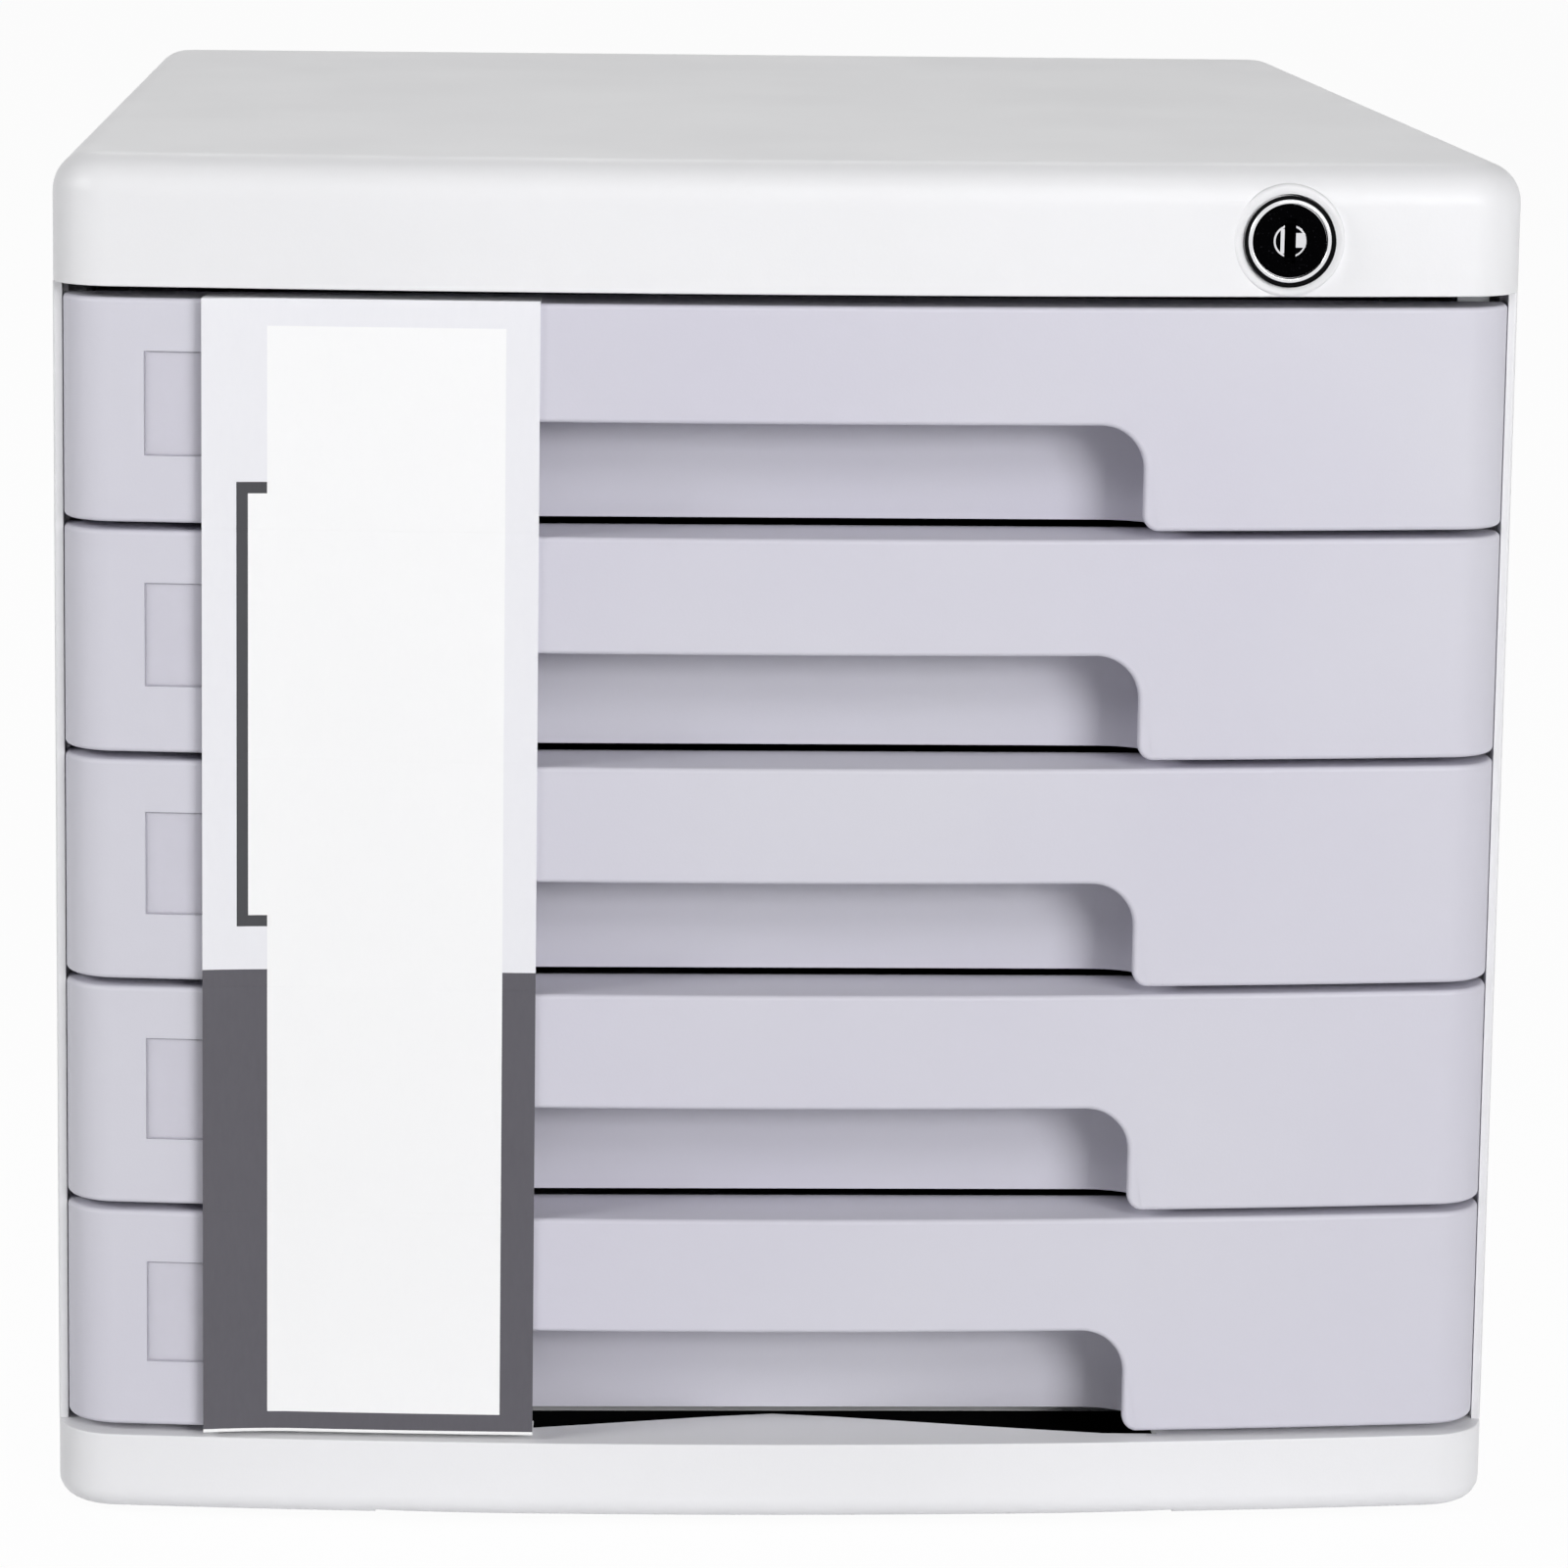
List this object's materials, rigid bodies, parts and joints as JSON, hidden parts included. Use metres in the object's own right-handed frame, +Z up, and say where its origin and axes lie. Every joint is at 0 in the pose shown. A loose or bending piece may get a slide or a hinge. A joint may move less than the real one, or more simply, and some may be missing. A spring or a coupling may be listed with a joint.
{
  "type": "desktop file drawer cabinet",
  "caption": "Desktop cabinet of stacked shallow drawers for A4 papers, with a bowed front, finger cut-outs, label windows and one cam lock that bars every drawer.",
  "frame": {"origin": "on the surface it stands on, under the middle of the cabinet's outline", "axes": "+X to the right as seen from the front, +Y from the drawer fronts to the back, +Z up"},
  "size_m": [0.27, 0.34, 0.256],
  "materials": {
    "white_shell": "satin moulded ABS, off-white",
    "front_plastic": "satin moulded plastic, pale lilac grey",
    "tray_plastic": "matt moulded plastic, pale lilac grey",
    "panel_plastic": "matt moulded plastic, pale grey",
    "lock_chrome": "plated zinc",
    "lock_black": "black, semi-gloss",
    "bar_steel": "zinc-plated sheet steel",
    "screw_steel": "zinc-plated",
    "rubber": "matt black",
    "label_clear": "clear, glossy",
    "label_card": "blank pale card",
    "band_light": "coated off-white paper",
    "band_dark": "coated paper, printed dark grey"
  },
  "bodies": {
    "case": {"top_cover": "white_shell", "base": "white_shell", "side_panel_left": "panel_plastic", "side_panel_right": "panel_plastic", "back_panel": "panel_plastic", "rubber_feet": "rubber", "base_screws": "screw_steel", "cover_screws": "screw_steel", "bar_guide_upper": "panel_plastic", "bar_guide_lower": "panel_plastic", "lock_barrel": "lock_chrome", "lock_nut": "lock_chrome"},
    "lock_core": {"lock_plug": "lock_black", "lock_cam": "bar_steel", "cam_screw": "screw_steel"},
    "lock_bar": {"lock_bar": "bar_steel", "bar_fingers": "bar_steel"},
    "drawer_1": {"drawer_tray_1": "tray_plastic", "drawer_runners_1": "tray_plastic", "drawer_catch_1": "tray_plastic", "drawer_front_1": "front_plastic", "front_screws_1": "screw_steel", "label_window_1": "label_clear", "label_card_1": "label_card", "band_strip_1": "band_light"},
    "drawer_2": {"drawer_tray_2": "tray_plastic", "drawer_runners_2": "tray_plastic", "drawer_catch_2": "tray_plastic", "drawer_front_2": "front_plastic", "front_screws_2": "screw_steel", "label_window_2": "label_clear", "label_card_2": "label_card", "band_strip_2": "band_light"},
    "drawer_3": {"drawer_tray_3": "tray_plastic", "drawer_runners_3": "tray_plastic", "drawer_catch_3": "tray_plastic", "drawer_front_3": "front_plastic", "front_screws_3": "screw_steel", "label_window_3": "label_clear", "label_card_3": "label_card", "band_strip_3": "band_light"},
    "drawer_4": {"drawer_tray_4": "tray_plastic", "drawer_runners_4": "tray_plastic", "drawer_catch_4": "tray_plastic", "drawer_front_4": "front_plastic", "front_screws_4": "screw_steel", "label_window_4": "label_clear", "label_card_4": "label_card", "band_strip_4": "band_dark"},
    "drawer_5": {"drawer_tray_5": "tray_plastic", "drawer_runners_5": "tray_plastic", "drawer_catch_5": "tray_plastic", "drawer_front_5": "front_plastic", "front_screws_5": "screw_steel", "label_window_5": "label_clear", "label_card_5": "label_card", "band_strip_5": "band_dark"}
  },
  "joints": [
    {"name": "drawer_1_slide", "type": "slide", "parent": "case", "child": "drawer_1", "axis": [0, -1, 0], "range_m": [0, 0.25]},
    {"name": "drawer_2_slide", "type": "slide", "parent": "case", "child": "drawer_2", "axis": [0, -1, 0], "range_m": [0, 0.25]},
    {"name": "drawer_3_slide", "type": "slide", "parent": "case", "child": "drawer_3", "axis": [0, -1, 0], "range_m": [0, 0.25]},
    {"name": "drawer_4_slide", "type": "slide", "parent": "case", "child": "drawer_4", "axis": [0, -1, 0], "range_m": [0, 0.25]},
    {"name": "drawer_5_slide", "type": "slide", "parent": "case", "child": "drawer_5", "axis": [0, -1, 0], "range_m": [0, 0.25]},
    {"name": "lock_turn", "type": "hinge", "parent": "case", "child": "lock_core", "pos_m": [0.0902, -0.16, 0.2424], "axis": [0, 1, 0], "range_deg": [0, 90]},
    {"name": "lock_bar_slide", "type": "slide", "parent": "case", "child": "lock_bar", "axis": [0, 0, -1], "range_m": [0, 0.00991]}
  ],
  "couplings": [
    {"joint": "lock_bar_slide", "follows": "lock_turn", "m_per_rad": 0.0063022}
  ]
}
